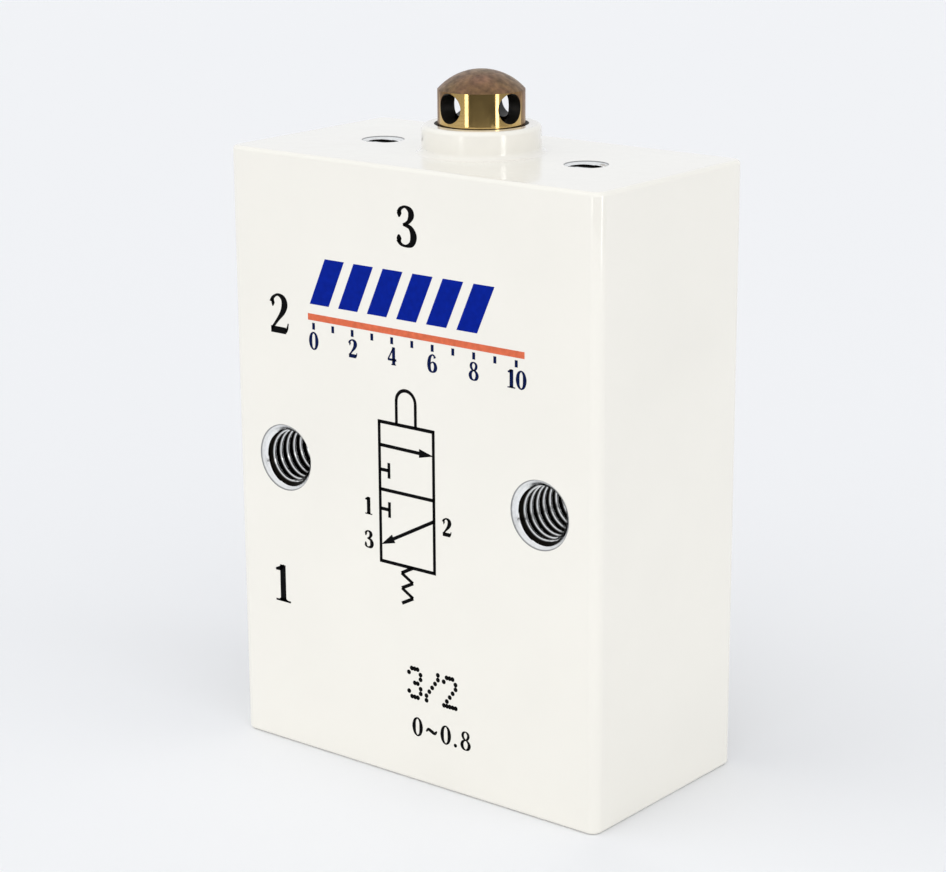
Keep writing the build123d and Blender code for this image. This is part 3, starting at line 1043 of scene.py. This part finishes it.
def bar_tree(name):
    """A row of like marks with four corners."""
    tree, add, given = new_tree(name, {"Geometry": "Geometry", **dict.fromkeys(CORNERS, "Vector")})
    points = {f"Point {place}": given[corner] for place, corner in enumerate(CORNERS, 1)}
    outline = add("GeometryNodeCurvePrimitiveQuadrilateral", inputs=points, mode="POINTS")
    return close_tree(tree, fill_at_points(add, outline, given), given)


def dot_tree():
    """A field of round dots."""
    tree, add, given = new_tree("ink_dots", {"Geometry": "Geometry", "Radius": "Float"})
    outline = add("GeometryNodeCurvePrimitiveCircle", inputs={"Resolution": 12, "Radius": given["Radius"]})
    return close_tree(tree, fill_at_points(add, outline, given), given)


def stand_up(mesh):
    """Laid ink from a flat mesh in X and Y, turned up to X and Z."""
    ink = bmesh.new()
    ink.from_mesh(mesh)
    bmesh.ops.transform(ink, matrix=Matrix.Rotation(math.radians(90), 4, "X"), verts=ink.verts)
    return ink


class VALVE_OT_stripes(bpy.types.Operator):
    """Print the blue slanted bars, the long orange bar and the navy scale"""

    bl_idname = "valve.stripes"
    bl_label = "Stripes"

    def execute(self, context):
        start, low, high = -9.95 * MM, 38.1 * MM, 41.9 * MM
        count, pitch, width, lean = 6, 3 * MM, 2 * MM, 1.7 * MM
        points = [(start + pitch * place, low, 0) for place in range(count)]
        corners = corners_of(width, 0, high - low, lean)
        bars = grow("blue_bars", bar_tree("slanted_bars"), "blue_screen_ink", corners, points)
        dry_ink("blue_bars", stand_up(bars), "blue_screen_ink")
        left, right, low, high = (size * MM for size in (-10.18, 11.58, 36.78, 37.31))
        ink = bmesh.new()
        lay_polygon(ink, [(left, low), (right, low), (right, high), (left, high)])
        dry_ink("orange_bar", ink, "orange_screen_ink")
        self.lay_scale(-9.6 * MM, 10.8 * MM, low)
        return {"FINISHED"}

    def lay_scale(self, start, end, bar_low):
        """A plain scale from 0 to 10 under the bar: a tick for each unit and every second numeral."""
        height, numeral_low, last = 1.45 * MM, bar_low - 2.4 * MM, 10
        tick_width, tick_height, tick_top = 0.28 * MM, 0.55 * MM, bar_low - 0.2 * MM
        step = (end - start) / last
        points = [(start + step * unit - tick_width / 2, tick_top, 0) for unit in range(last + 1)]
        corners = corners_of(tick_width, -tick_height, 0)
        ink = stand_up(grow("scale_ticks", bar_tree("scale_ticks"), "navy_screen_ink", corners, points))
        digit_pitch = 0.66 * height
        for unit in range(0, last + 1, 2):
            digits = str(unit)
            left = start + step * unit - digit_pitch / 2 * len(digits)
            for place, digit in enumerate(digits):
                lay_numeral(ink, digit, left + digit_pitch * place, numeral_low, height, weight=1.4)
        dry_ink("navy_scale", ink, "navy_screen_ink")


class VALVE_OT_dotted_numerals(bpy.types.Operator):
    """Print the plain dotted numerals and the range of numbers near the foot of the front face"""

    bl_idname = "valve.dotted_numerals"
    bl_label = "Dotted numerals"

    def execute(self, context):
        sizes = context.scene.valve_print
        patterns = {
            "3": ("01110", "10001", "00001", "00110", "00001", "10001", "01110"),
            "/": ("00001", "00001", "00010", "00100", "01000", "10000", "10000"),
            "2": ("01110", "10001", "00001", "00010", "00100", "01000", "11111"),
        }
        left, low, advance = -0.12 * MM, 7.25 * MM, 1.8 * MM
        points = []
        for place, numeral in enumerate("3/2"):
            for row, dots in enumerate(reversed(patterns[numeral])):
                for column, dot in enumerate(dots):
                    if dot == "1":
                        x = left + place * advance + column * sizes.dot_step
                        points.append((x, low + row * sizes.dot_rise, 0))
        field = grow("dotted_numerals", dot_tree(), "black_screen_ink", {"Radius": sizes.dot}, points)
        dry_ink("dotted_numerals", stand_up(field), "black_screen_ink")
        self.lay_range(3.95 * MM, 1.6 * MM)
        return {"FINISHED"}

    def lay_range(self, low, height):
        """A plain range of numbers below the dotted ones: 0 ~ 0.8."""
        ink = bmesh.new()
        for numeral, x in (("0", 0.2), ("0", 3.12), ("8", 5.15)):
            lay_numeral(ink, numeral, x * MM, low, height, weight=1.3)
        point_x, point_radius = 4.62 * MM, 0.16 * MM
        lay_disc(ink, point_x, low + 0.15 * MM, point_radius)
        wave = (
            (1.62, 0.62, 0.12), (1.84, 0.86, 0.26), (2.17, 0.75, 0.3), (2.5, 0.64, 0.26), (2.72, 0.88, 0.12),
        )
        lay_stroke(ink, [(x * MM, low + z * MM, width * MM) for x, z, width in wave], smooth=True)
        dry_ink("range_numerals", ink, "black_screen_ink")


def around(azimuth, distance, height):
    """A point round the valve: azimuth 0 is in front and 90 to the right."""
    turn = math.radians(azimuth)
    return Vector((math.sin(turn) * distance, -math.cos(turn) * distance, height))


class VALVE_OT_stage(bpy.types.Operator):
    """Set up the pale floor, the soft light and the camera"""

    bl_idname = "valve.stage"
    bl_label = "Stage"

    def execute(self, context):
        stage = context.scene.valve_stage
        context.scene.view_settings.view_transform = "Standard"
        self.lay_floor(stage)
        self.light_world(context, stage)
        for name, azimuth, elevation, strength in (
            ("key_lamp", -25, 45, 0.78), ("fill_lamp", 66, 28, 0.85),
        ):
            lamp = bpy.data.lights.new(name, "SUN")
            lamp.energy = strength
            lamp.angle = math.radians(80)
            light = show(name, lamp)
            light.visible_glossy = False
            rise = math.radians(elevation)
            light.location = around(azimuth, math.cos(rise), math.sin(rise))
            light.rotation_euler = light.location.to_track_quat("Z", "Y").to_euler()
        for name, start, end, low, high, strength in (
            ("dim_card_left", -60, -4.5, 36.3, 46, 0.6), ("strip_card_front", -4.5, 4.5, 35.3, 46, 4),
            ("dark_card", 4.5, 75.5, 34.8, 46, 0.12), ("strip_card_right", 75.5, 84, 31, 85, 4.5),
            ("dim_card_right", 84, 125, 31, 46, 0.45),
        ):
            self.stand_card(name, start, end, (low * MM, high * MM), strength)
        self.place_camera(context, stage)
        return {"FINISHED"}

    def lay_floor(self, stage):
        """A wide pale floor, a hair below the valve's foot."""
        floor = bmesh.new()
        bmesh.ops.create_circle(floor, cap_ends=True, segments=96, radius=6)
        bmesh.ops.translate(floor, verts=floor.verts, vec=(0, 0, -0.01 * MM))
        mesh = mesh_of("floor", floor)
        material, add = new_material("pale_studio_floor")[:2]
        mesh.materials.append(surfaced(material, add, {"Base Color": stage.floor, "Roughness": 0.6}))
        show("floor", mesh)

    def light_world(self, context, stage):
        """A studio that looks white to the eye and to reflections, and lights the valve more softly."""
        world = bpy.data.worlds.new("studio")
        context.scene.world = world
        world.use_nodes = True
        world.node_tree.nodes.clear()
        add = partial(add_node, world.node_tree)
        rays = add("ShaderNodeLightPath").outputs
        seen = add("MAXIMUM", rays["Is Camera Ray"], rays["Is Glossy Ray"])
        seen = add("MAXIMUM", seen, rays["Is Transmission Ray"])
        unseen_strength = 0.72
        strength = add(MAP_RANGE, seen, 0, 1, unseen_strength, 1)
        add("ShaderNodeOutputWorld", add("ShaderNodeBackground", stage.backdrop, strength))

    def stand_card(self, name, start, end, heights, strength):
        """A curved card that only reflections see, as a photographer flags polished metal."""
        away, steps = 110 * MM, 24
        card = bmesh.new()
        edges = []
        for step in range(steps + 1):
            azimuth = start + (end - start) * step / steps
            edges.append([card.verts.new(around(azimuth, away, z)) for z in heights])
        for (bottom, top), (next_bottom, next_top) in zip(edges, edges[1:]):
            card.faces.new((bottom, next_bottom, next_top, top))
        mesh = mesh_of(name, card)
        material, add = new_material(name)[:2]
        add("ShaderNodeOutputMaterial", add("ShaderNodeEmission", inputs={"Strength": strength}))
        mesh.materials.append(material)
        piece = show(name, mesh)
        for kind in ("camera", "diffuse", "shadow", "transmission"):
            setattr(piece, "visible_" + kind, False)

    def place_camera(self, context, stage):
        """Stand the camera where the photograph was taken from."""
        camera = bpy.data.cameras.new("camera")
        camera.lens = stage.lens
        camera.sensor_width = 36
        camera.clip_start = 0.005
        camera.clip_end = 50
        view = show("camera", camera)
        turn = Matrix.Rotation(stage.azimuth, 4, "Z")
        turn @= Matrix.Rotation(math.radians(90) - stage.elevation, 4, "X")
        turn @= Matrix.Rotation(stage.roll, 4, "Z")
        view.matrix_world = turn @ Matrix.Translation((stage.aim_right, stage.aim_up, stage.distance))
        context.scene.camera = view


OPERATORS = (
    VALVE_OT_painted_block,
    VALVE_OT_threads,
    VALVE_OT_plunger,
    VALVE_OT_bottom_plug,
    VALVE_OT_springs,
    VALVE_OT_inner_pieces,
    VALVE_OT_port_numerals,
    VALVE_OT_valve_symbol,
    VALVE_OT_stripes,
    VALVE_OT_dotted_numerals,
    VALVE_OT_stage,
)


class VALVE_PT_panel(bpy.types.Panel):
    """Sizes, colours and makers of the valve's pieces"""

    bl_idname = "VALVE_PT_panel"
    bl_label = "Valve"
    bl_space_type = "VIEW_3D"
    bl_region_type = "UI"
    bl_category = "Valve"

    def draw(self, context):
        for group in GROUPS:
            box = self.layout.box()
            for name in group.__annotations__:
                box.prop(getattr(context.scene, GROUPS[group]), name)
        for maker in OPERATORS:
            self.layout.operator(maker.bl_idname)


GROUPS = {
    ValveColours: "valve_colours",
    ValveThreads: "valve_threads",
    ValvePlunger: "valve_plunger",
    ValvePrint: "valve_print",
    ValveStage: "valve_stage",
}


def register():
    """Register the settings, the operators and the panel."""
    for group, name in GROUPS.items():
        bpy.utils.register_class(group)
        setattr(bpy.types.Scene, name, bpy.props.PointerProperty(type=group))
    for kind in (*OPERATORS, VALVE_PT_panel):
        bpy.utils.register_class(kind)


def unregister():
    """Take the panel, the operators and the settings away again."""
    for kind in (VALVE_PT_panel, *reversed(OPERATORS)):
        bpy.utils.unregister_class(kind)
    for group, name in GROUPS.items():
        delattr(bpy.types.Scene, name)
        bpy.utils.unregister_class(group)


def main():
    register()
    for maker in OPERATORS:
        group, name = maker.bl_idname.split(".")
        getattr(getattr(bpy.ops, group), name)()


if __name__ == "__main__":
    main()
